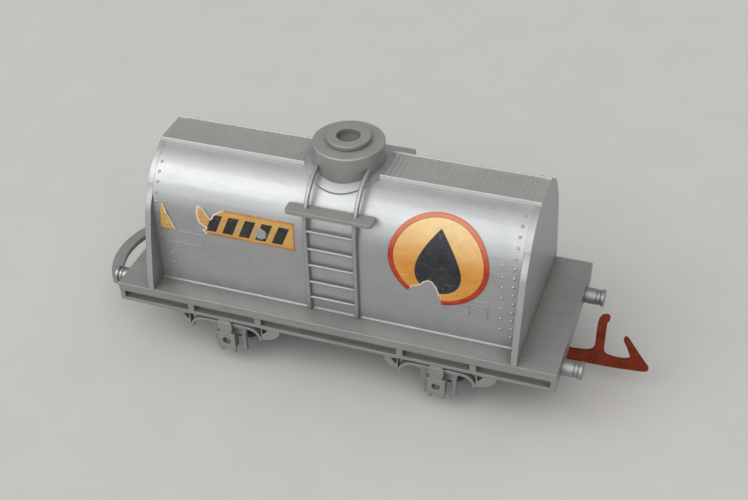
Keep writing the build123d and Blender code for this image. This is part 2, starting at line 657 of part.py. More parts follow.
def whole_label():
    (x0, x1), (low, high) = LABEL_X, LABEL_UP
    step = (high - low) / LABEL_STEPS
    points = [(x0, low)]
    points += [(x1, low + step * i) for i in range(LABEL_STEPS + 1)]
    points += [(x0, high - step * i) for i in range(LABEL_STEPS)]
    return sheet(points)


def torn_label(rivets):
    """Torn label and a loose scrap, which is pierced by the rivets under it."""
    pierced_by = [rivet for rivet in rivets
                  if rivet.center().X < -32 and 11 < rivet.center().Z - DECK_Z < 21]
    scrap = sheet(SCRAP).cut(*pierced_by)
    return Compound(children=[sheet(TORN_LABEL).solids()[0], scrap.solids()[0]])


# ---------------------------------------------------------------- assemble and write
nodes = {"underframe": underframe()}

guard, spring = axle_guard(), leaf_spring()
for end, place in ENDS.items():
    x = end * AXLE_X
    for name, part in (("axle_guard", guard), ("leaf_spring", spring)):
        placed = Pos(x, 0, 0) * part
        nodes[f"{name}_{place}_near"] = placed
        nodes[f"{name}_{place}_far"] = far(placed)
    nodes[f"axle_{place}"] = axle(x)
    nodes[f"wheel_{place}_near"] = Pos(x, 0, AXLE_Z) * wheel(-1)
    nodes[f"wheel_{place}_far"] = Pos(x, 0, AXLE_Z) * wheel(1)

near_rivets = side_rivets(-1)
nodes["tank_shell"] = tank_shell(near_rivets + side_rivets(1))
nodes["end_plate_front"] = end_plate(TANK_FRONT)
nodes["end_plate_rear"] = end_plate(TANK_REAR - PLATE_T)
nodes["roof_walk_front"] = roof_walk(1, 6.0, nodes["end_plate_front"])
nodes["roof_walk_rear"] = roof_walk(-1, 7.0, nodes["end_plate_rear"])

nodes["dome_flange"] = dome_flange()
nodes["dome_body"] = dome_body()
nodes["dome_lid_ring"] = dome_lid_ring()
nodes["filler_plug"] = filler_plug()

stiles = [near_stile(end * LADDER_X) for end in SIDES]
nodes["ladder_near"] = ladder_near(stiles)
nodes["step_board_near"] = step_board_near(stiles)
nodes["ladder_far"] = ladder_far()
nodes["step_board_far"] = step_board_far()

buffer = front_near_buffer()
for place, part in (("front", buffer), ("rear", rear(buffer))):
    nodes[f"buffer_{place}_near"] = part
    nodes[f"buffer_{place}_far"] = far(part)

nodes["coupling_hook"] = coupling_hook()
nodes["hook_pivot_rivet"] = hook_pivot_rivet()
nodes["coupling_hoop"] = coupling_hoop()
nodes["ballast_plate"] = ballast_plate()
nodes["tank_screws"] = Compound(children=[tank_screw(end * SCREW_X) for end in SIDES])

emblem = whole_emblem()
nodes["emblem_near"] = emblem - prism_xz(EMBLEM_TEAR, *STICKER_CUT_Y)
nodes["emblem_far"] = turned(emblem)
nodes["label_near"] = torn_label(near_rivets)
nodes["label_far"] = turned(whole_label())

for name, part in nodes.items():
    export_step(part, f"parts/{name}.step")
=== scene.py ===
import bpy
import bmesh
import math
import random
from functools import partialmethod
from mathutils import Matrix, Vector

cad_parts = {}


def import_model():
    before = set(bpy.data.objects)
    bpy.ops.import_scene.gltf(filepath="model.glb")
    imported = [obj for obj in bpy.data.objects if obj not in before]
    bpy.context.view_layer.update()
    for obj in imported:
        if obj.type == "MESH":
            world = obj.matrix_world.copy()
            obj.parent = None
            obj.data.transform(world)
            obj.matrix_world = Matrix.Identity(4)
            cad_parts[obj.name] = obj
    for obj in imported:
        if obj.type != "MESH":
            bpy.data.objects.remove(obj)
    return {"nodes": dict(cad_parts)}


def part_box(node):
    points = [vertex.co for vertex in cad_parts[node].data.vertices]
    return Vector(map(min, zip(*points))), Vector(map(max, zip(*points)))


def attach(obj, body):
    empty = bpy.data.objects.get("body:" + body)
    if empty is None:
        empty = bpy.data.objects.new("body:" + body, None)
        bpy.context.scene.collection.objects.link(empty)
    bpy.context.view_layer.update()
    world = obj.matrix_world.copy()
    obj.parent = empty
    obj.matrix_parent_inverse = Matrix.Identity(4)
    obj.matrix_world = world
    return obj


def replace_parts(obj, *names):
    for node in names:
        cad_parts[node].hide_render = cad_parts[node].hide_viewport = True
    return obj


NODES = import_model()["nodes"]
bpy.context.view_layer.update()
MM = 0.001

# Tank section: an upright side, then a round shoulder
shell_low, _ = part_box("tank_shell")
DECK_Z = shell_low.z / MM        # the tank's foot, which is the top of the deck
TANK_RADIUS = 11.5
SHOULDER = 16.1                  # height of the upright side
TANK_HALF_WIDTH = 12.8

# Wheels
AXLE_X = 22.05                   # both axles, at -X and +X
AXLE_Z = 6.2


# ------------------------------------------------------------------ shader node helpers
def connect(node_tree, socket, value):
    """Give a socket another node's output, a colour or a plain value."""
    if isinstance(value, bpy.types.NodeSocket):
        node_tree.links.new(value, socket)
    elif isinstance(value, tuple) and len(value) == 3 and len(socket.default_value) == 4:
        socket.default_value = (*value, 1.0)
    else:
        socket.default_value = value


def add_node(node_tree, kind, inputs=None, **settings):
    """Add a shader node; inputs maps a socket's name or index to its value."""
    node = node_tree.nodes.new("ShaderNode" + kind)
    for key, value in settings.items():
        setattr(node, key, value)
    for key, value in (inputs or {}).items():
        connect(node_tree, node.inputs[key], value)
    return node


class ShaderTree:
    """A material's node tree. Most methods add nodes and return an output socket."""

    def __init__(self, name):
        self.material = bpy.data.materials.new(name)
        self.material.use_nodes = True
        self.tree = self.material.node_tree
        self.tree.nodes.clear()
        self.output = self.node("OutputMaterial")
        self.principled = self.node("BsdfPrincipled")
        self.show(self.principled)
        # position in millimetres
        self.mm = self.scale(self.node("TexCoord").outputs["Object"], 1 / MM)

    def node(self, kind, inputs=None, **settings):
        return add_node(self.tree, kind, inputs, **settings)

    def show(self, shader):
        connect(self.tree, self.output.inputs[0], shader.outputs[0])

    # --- arithmetic
    def compute(self, operation, *values, clamp=False):
        """Chain a two-input operation from left to right; clamp acts on the last step."""
        result = values[0]
        for i, value in enumerate(values[1:], start=2):
            result = self.node("Math", {0: result, 1: value}, operation=operation,
                               use_clamp=clamp and i == len(values)).outputs[0]
        return result

    add = partialmethod(compute, "ADD")
    subtract = partialmethod(compute, "SUBTRACT")
    multiply = partialmethod(compute, "MULTIPLY")
    maximum = partialmethod(compute, "MAXIMUM")

    def of_one(self, operation, value):
        """Operation on one value; the node's second input is idle."""
        return self.compute(operation, value, 0.0)

    def swing(self, value, amount):
        """A 0..1 value turned into a variation around zero, amount wide."""
        return self.multiply(self.subtract(value, 0.5), amount)

    def root_of_squares(self, squares):
        return self.of_one("SQRT", self.add(*squares))

    def vector(self, operation, first, second):
        node = self.node("VectorMath", {0: first, 1: second}, operation=operation)
        return node.outputs["Value" if operation == "DOT_PRODUCT" else 0]

    def scale(self, vector, factor):
        return self.node("VectorMath", {0: vector, "Scale": factor}, operation="SCALE").outputs[0]

    def xyz(self, vector):
        return self.node("SeparateXYZ", {0: vector}).outputs

    # --- masks and mixes
    def ramp(self, value, low, high, ends):
        return self.node("MapRange", {"Value": value, "From Min": low, "From Max": high,
                                      "To Min": ends[0], "To Max": ends[1]},
                         interpolation_type="SMOOTHSTEP").outputs["Result"]

    def rise(self, value, low, high):
        """0 below low, 1 above high."""
        return self.ramp(value, low, high, (0.0, 1.0))

    def fall(self, value, low, high):
        """1 below low, 0 above high."""
        return self.ramp(value, low, high, (1.0, 0.0))

    def between(self, factor, low, high):
        return self.node("Mix", {0: factor, 2: low, 3: high}, data_type="FLOAT").outputs[0]

    def tint(self, colour, mask, to, strength=None):
        """Blend a colour towards another where the mask is 1."""
        if strength is not None:
            mask = self.multiply(mask, strength)
        return self.node("Mix", {0: mask, 6: colour, 7: to}, data_type="RGBA").outputs[2]

    # --- patterns
    def mapped(self, vector, **mapping):
        """Keywords are the Mapping node's Location, Rotation and Scale."""
        return self.node("Mapping", {"Vector": vector, **mapping}).outputs[0]

    def noise(self, vector, scale, detail=3.0, roughness=0.55, distortion=0.0):
        return self.node("TexNoise", {"Vector": vector, "Scale": scale, "Detail": detail,
                                      "Roughness": roughness,
                                      "Distortion": distortion}).outputs["Fac"]

    def cells(self, vector, scale, output):
        return self.node("TexVoronoi", {"Vector": vector, "Scale": scale}).outputs[output]

    def scratches(self, vector, angle, density, seed, length=0.16, width=7.0):
        """Hair scratches: long thin noise, turned and cut at a threshold.

        A higher density value leaves fewer scratches; length and width are noise scales.
        """
        place = self.mapped(vector, Rotation=angle, Scale=(length, width, width),
                            Location=(seed, seed * 0.37, seed * 1.3))
        hairs = self.noise(place, scale=1.0, detail=2.0, roughness=0.5)
        return self.rise(hairs, low=0.5 + density, high=0.5 + density + 0.035)

    def label_place(self):
        """x and height up the tank's side, then the distance to a torn edge."""
        node = self.node("Attribute", attribute_name="label_mm")
        return self.xyz(node.outputs["Vector"])

    # --- shape of the surface
    def normal(self):
        return self.node("NewGeometry").outputs["Normal"]

    def bevel(self, radius):
        return self.node("Bevel", {"Radius": radius * MM}, samples=6).outputs[0]

    def edges(self, bevel, low, high):
        """1 on edges, where the bevelled normal leaves the true one."""
        turn = self.subtract(1.0, self.vector("DOT_PRODUCT", bevel, self.normal()))
        return self.rise(turn, low, high)

    def crevices(self, reach, low, high):
        """1 in corners that are closed in within reach."""
        node = self.node("AmbientOcclusion", {"Distance": reach * MM}, samples=6)
        return self.fall(node.outputs["AO"], low, high)

    def bump(self, height, strength, distance, normal=None):
        inputs = {"Strength": strength, "Distance": distance * MM, "Height": height}
        if normal is not None:
            inputs["Normal"] = normal
        return self.node("Bump", inputs).outputs[0]

    def finish(self, colour, roughness, metal, normal, **others):
        """Set the main shader; others are its inputs, with _ for each space."""
        inputs = {"Base Color": colour, "Roughness": roughness, "Metallic": metal,
                  "Normal": normal}
        inputs.update({key.replace("_", " "): value for key, value in others.items()})
        for key, value in inputs.items():
            connect(self.tree, self.principled.inputs[key], value)
        return self.material


# ------------------------------------------------------------------ wagon materials
def silver(name, base, metal, roughness, dust, seed, wear, hair,
           flow=(0.10, 0.16, 0.16), steady=0.45, shade_and_grime_low=0.30, shade_and_grime_high=0.78,
           shade_and_grime_strength=0.62, shade_and_grime_reach=1.5, edge_radius=0.16, lip_highlights=False, plate_shadow=0.0):
    """Silver-grey moulding filled with fine aluminium flake.

    dust, wear and hair are the strengths of the dust film, the bright edges (rubbed wear and a
    painted edge highlight) and the scratches. flow stretches the flow marks, and steady is the
    least edge brightening along an edge.
    shade_and_grime_low and shade_and_grime_high limit the corner mask, and tarnish darkens the -X
    end.
    """
    tree = ShaderTree(name)
    place = tree.vector("ADD", tree.mm, (seed, seed * 1.7, seed * 0.6))
    cloud = tree.noise(place, scale=0.11, detail=4.0, roughness=0.6)
    swirl = tree.noise(tree.mapped(place, Scale=flow), scale=1.0, detail=5.0,
                       roughness=0.62, distortion=1.4)
    flake = tree.xyz(tree.cells(place, scale=8.0, output="Color"))[0]
    grain = tree.noise(place, scale=3.2, detail=2.0, roughness=0.6)
    # brightness around 1
    tone = tree.add(tree.swing(cloud, amount=0.20), tree.swing(swirl, amount=0.30),
                    tree.swing(flake, amount=0.10), tree.swing(grain, amount=0.10), 1.0)
    colour = tree.scale(tree.vector("MULTIPLY", base, (1, 1, 1)), tone)

    # bright edges: rubbed wear and a painted edge highlight, brighter than the base
    bevel = tree.bevel(edge_radius)
    patches = tree.rise(tree.noise(place, scale=0.55, detail=4.0, roughness=0.65),
                        low=0.36, high=0.62)
    edge = tree.multiply(tree.edges(bevel, low=0.015, high=0.20),
                         tree.between(patches, low=steady, high=1.0), wear)
    rubbed = tuple(min(part * gain, 0.9) for part, gain in zip(base, (1.55, 1.54, 1.50)))
    colour = tree.tint(colour, edge, to=rubbed)

    # painted shade in corners and creases, mixed with grime
    shade_and_grime = tree.multiply(tree.crevices(shade_and_grime_reach, shade_and_grime_low, shade_and_grime_high),
                          tree.between(tree.noise(place, scale=0.8), low=0.45, high=1.0),
                          clamp=True)
    if plate_shadow:
        # painted shadow of the -X end plate, spreading over the lower part of the tank's side
        x, _, z = tree.xyz(tree.mm)
        near_plate = tree.fall(tree.add(x, tree.swing(cloud, amount=3.0)),
                               low=-37.0, high=-32.6)
        below = tree.fall(z, low=DECK_Z + 15.0, high=DECK_Z + 19.5)
        shade_and_grime = tree.maximum(shade_and_grime, tree.multiply(near_plate, below, plate_shadow))
    colour = tree.tint(colour, shade_and_grime, to=(0.065, 0.055, 0.045), strength=shade_and_grime_strength)

    # loose dust on what faces up
    upward = tree.rise(tree.xyz(tree.normal())[2], low=0.55, high=0.98)
    specks = tree.rise(tree.noise(place, scale=1.9, detail=5.0, roughness=0.7),
                       low=0.50, high=0.72)
    film = tree.multiply(upward, dust, tree.between(specks, low=0.45, high=1.0))
    colour = tree.tint(colour, film, to=(0.34, 0.32, 0.285))

    if lip_highlights:
        # painted highlight: thin bright lines along both side lips
        across = tree.of_one("ABSOLUTE", tree.xyz(tree.mm)[1])
        rim = tree.rise(across, low=3.94, high=4.00)
        colour = tree.tint(colour, rim, to=(0.74, 0.74, 0.73), strength=0.75)

    scratches = tree.maximum(
        tree.scratches(place, angle=(0.35, 0.1, 0.55), density=0.185, seed=3.1 + seed),
        tree.scratches(place, angle=(-0.6, 0.5, -0.25), density=0.20, seed=9.7 + seed,
                       length=0.22, width=9.0))
    colour = tree.tint(colour, scratches, to=(0.62, 0.62, 0.62), strength=hair)

    # edges are smoother; shaded, grimy corners and dust are rougher and hide the metal
    rough = tree.add(roughness, tree.swing(cloud, amount=0.16), tree.swing(grain, amount=0.10))
    rough = tree.subtract(rough, tree.multiply(edge, 0.08))
    rough = tree.add(rough, tree.multiply(shade_and_grime, 0.30), tree.multiply(film, 0.6), clamp=True)
    if lip_highlights:
        rough = tree.subtract(rough, tree.multiply(rim, 0.10), clamp=True)
    cover = tree.add(tree.multiply(shade_and_grime, 0.5), tree.multiply(film, 0.9))
    metallic = tree.subtract(metal, cover, clamp=True)

    # relief: weights of the grain, soft unevenness, flakes and scratches
    height = tree.add(tree.multiply(grain, 0.35),
                      tree.multiply(tree.noise(place, scale=0.9), 0.9),
                      tree.multiply(flake, 0.12))
    height = tree.subtract(height, tree.multiply(scratches, hair))
    normal = tree.bump(height, strength=0.22, distance=0.05, normal=bevel)
    return tree.finish(colour, rough, metallic, normal, Specular_IOR_Level=0.5)


def black_plastic():
    """Black wheel moulding: dull web, rim polished and dusty from running."""
    tree = ShaderTree("wheel_black_plastic")
    x, _, z = tree.xyz(tree.mm)
    along = tree.subtract(tree.of_one("ABSOLUTE", x), AXLE_X)
    height = tree.subtract(z, AXLE_Z)
    radius = tree.root_of_squares((tree.multiply(along, along), tree.multiply(height, height)))
    rim = tree.rise(radius, low=4.9, high=5.05)
    cloud = tree.noise(tree.mm, scale=0.9, detail=4.0, roughness=0.65)
    grain = tree.noise(tree.mm, scale=5.0, detail=3.0, roughness=0.6)
    colour = tree.tint((0.018, 0.018, 0.019), tree.rise(cloud, low=0.35, high=0.7),
                       to=(0.035, 0.034, 0.034))
    # fine turned rings, 26 radians of the wave to a millimetre
    rings = tree.rise(tree.of_one("SINE", tree.multiply(radius, 26.0)), low=0.2, high=1.0)
    colour = tree.tint(colour, rim, to=(0.14, 0.135, 0.13),
                       strength=tree.between(cloud, low=0.15, high=0.55))
    colour = tree.tint(colour, tree.crevices(reach=1.6, low=0.35, high=0.8),
                       to=(0.075, 0.062, 0.05), strength=0.55)
    # roughness of the web and of the rim, each varied by its noise
    web_rough = tree.add(0.50, tree.multiply(grain, 0.14))
    rim_rough = tree.add(0.24, tree.multiply(cloud, 0.16))
    relief = tree.add(tree.multiply(grain, 0.6), tree.multiply(rings, 0.25))
    normal = tree.bump(relief, strength=0.25, distance=0.04, normal=tree.bevel(0.12))
    return tree.finish(colour, tree.between(rim, web_rough, rim_rough), 0.0, normal,
                       Specular_IOR_Level=0.5)


def steel(name, base, roughness, stretch, rust, seed):
    """Drawn or rolled steel: lines set by stretch, and stained patches."""
    tree = ShaderTree(name)
    place = tree.vector("ADD", tree.mm, (seed, seed, seed))
    lines = tree.noise(tree.mapped(place, Scale=stretch), scale=1.0, detail=4.0, roughness=0.6)
    patches = tree.noise(place, scale=0.45, detail=4.0, roughness=0.65, distortion=0.6)
    darker = tuple(part * 0.78 for part in base)
    lighter = tuple(min(part * 1.15, 1) for part in base)
    colour = tree.tint(darker, tree.rise(lines, low=0.3, high=0.7), to=lighter)
    stain = tree.rise(patches, low=0.52 - rust * 0.25, high=0.72 - rust * 0.2)
    colour = tree.tint(colour, stain, to=(0.16, 0.085, 0.045), strength=0.35 + rust * 0.5)
    bevel = tree.bevel(0.12)
    # lighter along every edge: painted edge highlight and rubbed wear
    colour = tree.tint(colour, tree.edges(bevel, low=0.02, high=0.2),
                       to=(0.8, 0.79, 0.77), strength=0.5)
    # darker in corners closed in within 1.2 mm: painted shade and grime
    colour = tree.tint(colour, tree.crevices(reach=1.2, low=0.3, high=0.75),
                       to=(0.05, 0.04, 0.03), strength=0.6)
    # lines and stains roughen; stains hide the metal
    rough = tree.add(roughness, tree.add(tree.multiply(lines, 0.16),
                                         tree.multiply(stain, 0.30)), clamp=True)
    metallic = tree.subtract(1.0, tree.multiply(stain, 0.55), clamp=True)
    normal = tree.bump(lines, strength=0.18, distance=0.03, normal=bevel)
    return tree.finish(colour, rough, metallic, normal)


def hook_metal():
    """Stamped tinplate turned red-brown all over, pitted, with a few rubbed edges."""
    tree = ShaderTree("hook_oxidised_tinplate")
    place = tree.mm
    cloud = tree.noise(place, scale=0.32, detail=5.0, roughness=0.65, distortion=0.8)
    fine = tree.noise(place, scale=2.8, detail=5.0, roughness=0.7)
    pits = tree.cells(place, scale=2.6, output="Distance")
    colour = tree.tint((0.120, 0.0155, 0.004), tree.rise(cloud, low=0.33, high=0.68),
                       to=(0.190, 0.028, 0.008))
    colour = tree.tint(colour, tree.rise(fine, low=0.52, high=0.74),
                       to=(0.215, 0.052, 0.018), strength=0.45)
    colour = tree.tint(colour, tree.fall(fine, low=0.30, high=0.44),
                       to=(0.030, 0.010, 0.007), strength=0.6)
    bevel = tree.bevel(0.14)
    rubbed = tree.multiply(tree.edges(bevel, low=0.02, high=0.22),
                           tree.rise(tree.noise(place, scale=0.7), low=0.50, high=0.66))
    colour = tree.tint(colour, rubbed, to=(0.26, 0.14, 0.09), strength=0.45)
    scratches = tree.scratches(place, angle=(0.0, 0.5, 0.2), density=0.17, seed=5.0,
                               length=0.3, width=6.0)
    colour = tree.tint(colour, scratches, to=(0.26, 0.12, 0.07), strength=0.2)
    # rubbed places are smoother and more metallic
    rough = tree.subtract(tree.add(0.58, tree.multiply(fine, 0.28)),
                          tree.multiply(rubbed, 0.2), clamp=True)
    metallic = tree.add(0.10, tree.multiply(rubbed, 0.4), clamp=True)
    # relief: weights of the fine grain and of the pits
    height = tree.add(tree.multiply(fine, 0.9),
                      tree.multiply(tree.rise(pits, low=0.0, high=0.35), 0.5))
    normal = tree.bump(height, strength=0.40, distance=0.05, normal=bevel)
    return tree.finish(colour, rough, metallic, normal, Specular_IOR_Level=0.16)


def printed(name, tones, wear, patch_scale, roughness, hair, stain, spot=None, fade=None):
    """Aged, varnished paper or ink in two patchy tones.

    wear, hair and stain are the strengths of the rubbing, scratches and blots.
    spot is (x, height, radius) of a hole worn through to the tank.
    The last argument is (low, high, strength, colour) of a painted sheen that pales the print
    higher up the tank.
    """
    tree = ShaderTree(name)
    place = tree.mm
    patches = tree.noise(place, scale=patch_scale, detail=3.0, roughness=0.6)
    colour = tree.tint(tones[0], tree.rise(patches, low=0.3, high=0.7), to=tones[1])
    # painted sheen: the print turns paler higher up the tank, where it catches the light
    if fade:
        low, high, strength, sheen_colour = fade
        colour = tree.tint(colour, tree.rise(tree.label_place()[1], low, high),
                           to=sheen_colour, strength=strength)

    x, up, tear = tree.label_place()
    fibre = tree.noise(tree.mapped(place, Scale=(2.2, 7.0, 7.0)), scale=1.0, detail=3.0,
                       roughness=0.65)
    fine = tree.noise(place, scale=6.0, detail=4.0, roughness=0.7)
    blots = tree.noise(place, scale=0.33, detail=4.0, roughness=0.6)
    colour = tree.tint(colour, tree.rise(blots, low=0.42, high=0.72),
                       to=(0.30, 0.17, 0.05), strength=stain)
    colour = tree.tint(colour, tree.rise(fine, low=0.665, high=0.72),
                       to=(0.10, 0.07, 0.045), strength=0.55)
    # rubbed and scratched down to bare paper
    rub_noise = tree.noise(place, scale=0.85, detail=6.0, roughness=0.75, distortion=0.5)
    rubbed = tree.multiply(tree.rise(rub_noise, low=0.60, high=0.70), wear)
    scratches = tree.scratches(place, angle=(0.2, 0.9, 0.3), density=0.175, seed=4.0,
                               length=0.35)
    lifted = tree.maximum(rubbed, tree.multiply(scratches, hair))
    colour = tree.tint(colour, lifted, to=(0.60, 0.54, 0.43))
    # pale fibres along torn edges
    raw = tree.add(tear, tree.swing(fibre, amount=0.35))
    colour = tree.tint(colour, tree.fall(raw, low=0.10, high=0.34), to=(0.66, 0.60, 0.48))

    # relief: weights of the fibres, the fine grain and the rubbed places
    height = tree.add(tree.multiply(fibre, 0.5), tree.multiply(fine, 0.25))
    height = tree.subtract(height, tree.multiply(lifted, 0.25))
    metallic = 0.0
    if spot:
        spot_x, spot_up, radius = spot
        distance = tree.root_of_squares([
            tree.compute("POWER", tree.subtract(value, centre), 2.0)
            for value, centre in ((x, spot_x), (up, spot_up))])
        ragged_edge = tree.noise(place, scale=1.6, detail=4.0, roughness=0.7)
        distance = tree.add(distance, tree.swing(ragged_edge, amount=radius * 1.3))
        bare = tree.fall(distance, low=radius * 0.86, high=radius)
        colour = tree.tint(colour, bare, to=(0.40, 0.40, 0.40))
        metallic = tree.multiply(bare, 0.7)
        height = tree.subtract(height, tree.multiply(bare, 0.9))
    rough = tree.add(roughness, tree.add(tree.multiply(lifted, 0.25),
                                         tree.swing(fine, amount=0.12)), clamp=True)
    return tree.finish(colour, rough, metallic, tree.bump(height, strength=0.3, distance=0.05),
                       Specular_IOR_Level=0.35, Coat_Weight=0.05, Coat_Roughness=0.30)


def paper(name, tones, wear=0.5, **options):
    return printed(name, tones, wear, patch_scale=0.16, roughness=0.40, hair=0.6, stain=0.22,
                   **options)


def ink(name, colour, wear, **options):
    lighter = tuple(min(part * 1.5 + 0.006, 1) for part in colour)
    return printed(name, (colour, lighter), wear, patch_scale=0.5, roughness=0.36, hair=0.18,
                   stain=0.03, **options)


OLD_YELLOW = ((0.42, 0.225, 0.055), (0.50, 0.295, 0.09))
EMBLEM_YELLOW = ((0.51, 0.205, 0.030), (0.58, 0.265, 0.050))
OCHRE = (0.34, 0.13, 0.026)
RED = (0.27, 0.020, 0.004)
# (low, high, strength, colour) of a painted sheen, paler higher up the tank, as printed() takes
# it
PAPER_SHEEN = (15.0, 25.5, 0.72, (0.76, 0.62, 0.33))
RIM_SHEEN = (16.0, 26.5, 0.80, (0.58, 0.21, 0.12))
# (x, height, radius) of the hole worn in the near label
WORN_SPOT = (-14.4, 15.95, 1.35)

MATERIALS = {
    # the tank gets a painted shadow beside the -X end plate
    "tank": silver("silver_tank", (0.39, 0.40, 0.405), metal=0.82, roughness=0.40, dust=0.12,
                   seed=2.0, wear=0.30, hair=0.12, flow=(0.09, 0.17, 0.17),
                   edge_radius=0.07, plate_shadow=0.85),
    # strong corner mask: painted shade on the end plates' inner faces
    "plate": silver("silver_end_plate", (0.37, 0.375, 0.375), metal=0.76, roughness=0.38,
                    dust=0.12, seed=7.0, wear=0.55, hair=0.16, flow=(0.2, 0.2, 0.05),
                    shade_and_grime_low=0.50, shade_and_grime_high=1.0, shade_and_grime_strength=0.85, shade_and_grime_reach=4.0,
                    edge_radius=0.12),
    # the roof walk's side lips get a painted highlight
    "roof": silver("silver_roof", (0.39, 0.388, 0.378), metal=0.66, roughness=0.42, dust=0.24,
                   seed=13.0, wear=0.30, hair=0.15, lip_highlights=True),
    # corner mask paints shade at the base of the lid ring
    "dome": silver("silver_dome", (0.30, 0.298, 0.29), metal=0.62, roughness=0.42, dust=0.34,
                   seed=17.0, wear=0.8, hair=0.18, shade_and_grime_low=0.32, shade_and_grime_high=0.90,
                   shade_and_grime_strength=0.90, shade_and_grime_reach=2.2),
    # wide corner mask: painted shade in the solebar recesses; strong edges: painted edge
    # highlight and wear
    "deck": silver("silver_chassis", (0.29, 0.29, 0.285), metal=0.66, roughness=0.40,
                   dust=0.26, seed=21.0, wear=1.0, hair=0.15, steady=0.72, shade_and_grime_low=0.42,
                   shade_and_grime_high=0.98, shade_and_grime_strength=0.95, shade_and_grime_reach=4.0),
    "buffer": silver("silver_buffer", (0.29, 0.29, 0.29), metal=0.80, roughness=0.30,
                     dust=0.05, seed=31.0, wear=0.9, hair=0.15),
    # very dark base: painted shade of the recess in the dome lid
    "plug": silver("silver_plug_shaded", (0.13, 0.125, 0.115), metal=0.45, roughness=0.55,
                   dust=0.30, seed=37.0, wear=0.3, hair=0.10, shade_and_grime_low=0.35,
                   shade_and_grime_high=0.95, shade_and_grime_strength=0.80),
    "wheel": black_plastic(),
    "axle": steel("axle_drawn_steel", (0.50, 0.50, 0.51), roughness=0.22,
                  stretch=(7.0, 0.25, 7.0), rust=0.05, seed=3.0),
    "screw": steel("screw_plated_steel", (0.58, 0.57, 0.53), roughness=0.26,
                   stretch=(5.0, 5.0, 1.0), rust=0.10, seed=11.0),
    "ballast": steel("ballast_rolled_steel", (0.36, 0.355, 0.35), roughness=0.38,
                     stretch=(0.12, 6.0, 6.0), rust=0.45, seed=17.0),
    "rivet": steel("rivet_dull_steel", (0.40, 0.36, 0.32), roughness=0.36,
                   stretch=(4.0, 4.0, 4.0), rust=0.5, seed=23.0),
    "hook": hook_metal(),
    "paper_label": paper("label_paper_yellow", OLD_YELLOW, spot=WORN_SPOT),
    "paper_emblem": paper("emblem_paper_yellow", EMBLEM_YELLOW, fade=PAPER_SHEEN),
    "paper_far": paper("far_paper_yellow", OLD_YELLOW, wear=0.35),
    "ink_label": ink("ink_black_label", (0.012, 0.011, 0.012), wear=0.3, spot=WORN_SPOT),
    "ink_border": ink("ink_ochre_border", OCHRE, wear=0.4, spot=WORN_SPOT),
    "ink_emblem": ink("ink_black_emblem", (0.012, 0.013, 0.018), wear=0.25),
    "ink_far": ink("ink_black_far", (0.012, 0.012, 0.015), wear=0.3),
    "ink_border_far": ink("ink_ochre_border_far", OCHRE, wear=0.4),
    "ink_red": ink("ink_red_ring", RED, wear=0.4, fade=RIM_SHEEN),
    "ink_red_far": ink("ink_red_ring_far", RED, wear=0.35, fade=RIM_SHEEN),
}

# ------------------------------------------------------------------ materials of the CAD pieces
# (start of the piece's name, material); the first match counts
PIECE_MATERIALS = [
    ("tank_shell", "tank"), ("end_plate", "plate"), ("roof_walk", "roof"),
    ("dome_flange", "tank"), ("dome_", "dome"), ("filler_plug", "plug"),
    ("ladder_", "plate"), ("step_board", "dome"), ("underframe", "deck"),
    ("axle_guard", "deck"), ("leaf_spring", "deck"), ("coupling_hoop", "deck"),
    ("buffer_", "buffer"), ("coupling_hook", "hook"), ("hook_pivot_rivet", "rivet"),
    ("tank_screws", "screw"), ("ballast_plate", "ballast"), ("wheel_", "wheel"),
    ("axle_", "axle"),
]
for name, piece in NODES.items():
    for start, key in PIECE_MATERIALS:
        if name.startswith(start):
            if not piece.material_slots:
                piece.data.materials.append(MATERIALS[key])
            for slot in piece.material_slots:
                slot.material = MATERIALS[key]
            break


# ------------------------------------------------------------------ sheets wrapped on the tank
# A flat sheet is laid out in (x, up), with up measured along the tank's skin from the deck.
# On the far side x runs the other way.
PAPER_TOP = 0.085                # heights above the tank's skin
INK_TOP = 0.100
SHEET_GAP = 0.004                # paper's underside above the skin, and ink's depth in the paper
UNTORN_DISTANCE = 9.0            # stands in for the distance to a tear on whole paper


def on_tank(side, x, up, off):
    """Point in metres at a distance off above the tank's skin."""
    if up <= SHOULDER:
        y, z = TANK_HALF_WIDTH + off, up
    else:
        angle = (up - SHOULDER) / TANK_RADIUS
        y = TANK_HALF_WIDTH - TANK_RADIUS + (TANK_RADIUS + off) * math.cos(angle)
        z = SHOULDER + (TANK_RADIUS + off) * math.sin(angle)
    if side == "near":
        return Vector((x, -y, z + DECK_Z)) * MM
    return Vector((-x, y, z + DECK_Z)) * MM


def add_sheet(name, side, flat, heights, material, tear_distance=None):
    """Closed thin sheet from flat (vertices, faces), between heights (top, bottom)."""
    places, faces = flat
    count = len(places)
    points = [(x, up, tear_distance(x, up) if tear_distance else UNTORN_DISTANCE)
              for x, up in places]
    vertices = [tuple(on_tank(side, x, up, height(x, up, tear)))
                for height in heights for x, up, tear in points]
    # a dict keeps the edges in order; an edge without its reverse is on the outline
    edges = dict.fromkeys(edge for face in faces for edge in zip(face, face[1:] + face[:1]))
    solid = [tuple(face) for face in faces]
    solid += [tuple(i + count for i in reversed(face)) for face in faces]
    solid += [(b, a, a + count, b + count) for a, b in edges if (b, a) not in edges]

    mesh = bpy.data.meshes.new(name)
    mesh.from_pydata(vertices, [], solid)
    mesh.validate()
    shell = bmesh.new()
    shell.from_mesh(mesh)
    bmesh.ops.recalc_face_normals(shell, faces=shell.faces)
    shell.to_mesh(mesh)
    shell.free()
    attribute = mesh.attributes.new("label_mm", "FLOAT_VECTOR", "POINT")
    attribute.data.foreach_set("vector", [value for point in points for value in point] * 2)
    for polygon in mesh.polygons:
        polygon.use_smooth = len(polygon.vertices) == 4 and abs(polygon.normal.x) < 0.5
    mesh.materials.append(MATERIALS[material])
    sheet = bpy.data.objects.new(name, mesh)
    bpy.context.scene.collection.objects.link(sheet)
    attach(sheet, "wagon")
    return sheet


